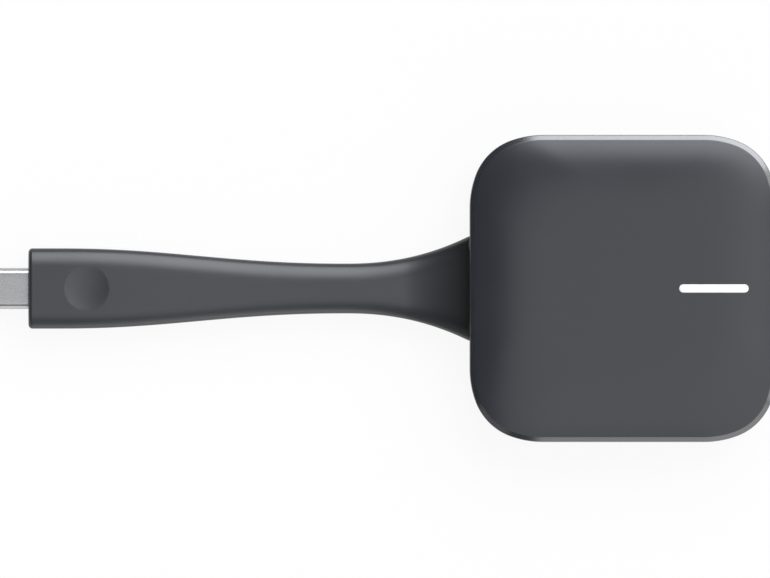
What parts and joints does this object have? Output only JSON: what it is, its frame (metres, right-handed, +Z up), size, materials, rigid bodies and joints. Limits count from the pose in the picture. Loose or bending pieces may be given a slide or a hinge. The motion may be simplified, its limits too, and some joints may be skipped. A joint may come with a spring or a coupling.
{
  "type": "wireless presentation dongle",
  "caption": "Soft-cornered square dongle with a crowned pressing cover, a white light bar and a flexible tail that ends in a flat reversible plug.",
  "frame": {"origin": "middle of the puck's flat underside, at the surface that it lies on", "axes": "+Z up out of the pressing cover, +X from the plug along the tail to the puck, +Y across the puck"},
  "size_m": [0.1563, 0.0612, 0.0136],
  "materials": {
    "shell_plastic": "fine satin texture",
    "tail_elastomer": "soft matt",
    "plug_steel": "satin nickel plate",
    "light_white": "milky, lit from behind",
    "frame_plastic": "matt",
    "board_laminate": "solder mask",
    "chip_black": "matt moulding",
    "can_steel": "tin plate",
    "screw_steel": "zinc plate",
    "gold_plate": "gold flash",
    "spreader_aluminium": "mill finish",
    "silicone_grey": "soft matt",
    "cable_jacket": "matt",
    "connector_white": "matt",
    "plunger_black": "matt",
    "ceramic_tan": "matt"
  },
  "bodies": {
    "base": {"base_case": "shell_plastic", "mid_frame": "frame_plastic", "frame_screws": "screw_steel", "return_bumpers": "silicone_grey", "main_board": "board_laminate", "board_screws": "screw_steel", "processor_can": "can_steel", "radio_can": "can_steel", "processor_chip": "chip_black", "memory_chip": "chip_black", "radio_chip": "chip_black", "amplifier_chip": "chip_black", "storage_chip": "chip_black", "processor_pad": "silicone_grey", "radio_pad": "silicone_grey", "power_inductors": "chip_black", "capacitors": "ceramic_tan", "clock_crystal": "can_steel", "indicator_leds": "ceramic_tan", "antennas": "gold_plate", "board_pad": "silicone_grey", "heat_spreader": "spreader_aluminium", "switch_housing": "connector_white", "switch_plate": "can_steel", "switch_dome": "gold_plate", "tail_overmould": "tail_elastomer", "tail_cable": "cable_jacket", "cable_clamp": "frame_plastic", "clamp_screws": "screw_steel", "cable_wires": "cable_jacket", "wire_plug": "connector_white", "wire_socket": "connector_white"},
    "cover": {"top_cover": "shell_plastic", "light_bar": "light_white", "diffuser_film": "light_white", "light_funnel": "light_white", "switch_pusher": "silicone_grey"},
    "plunger": {"switch_plunger": "plunger_black"},
    "plug": {"plug_shell": "plug_steel", "plug_insulator": "chip_black", "upper_contacts": "gold_plate", "lower_contacts": "gold_plate", "plug_latches": "plug_steel", "plug_board": "board_laminate", "plug_chip": "chip_black", "plug_shield": "can_steel", "plug_wires": "cable_jacket", "plug_core": "frame_plastic"}
  },
  "joints": [
    {"name": "cover_press", "type": "slide", "parent": "base", "child": "cover", "axis": [0, 0, -1], "range_m": [0, 0.0003], "stiffness_N_per_m": 4000, "springref_m": -0.0003, "deforming": ["return_bumpers"]},
    {"name": "switch_press", "type": "slide", "parent": "base", "child": "plunger", "axis": [0, 0, -1], "range_m": [0, 0.0003], "deforming": ["switch_dome"]},
    {"name": "neck_bend", "type": "hinge", "parent": "base", "child": "plug", "pos_m": [-0.05535, 0, 0.0042], "axis": [0, 1, 0], "range_deg": [-35, 35], "stiffness_Nm_per_rad": 0.25, "springref_deg": 0.29, "deforming": ["tail_overmould", "tail_cable"]}
  ],
  "couplings": [
    {"joint": "switch_press", "follows": "cover_press", "ratio": 1}
  ]
}
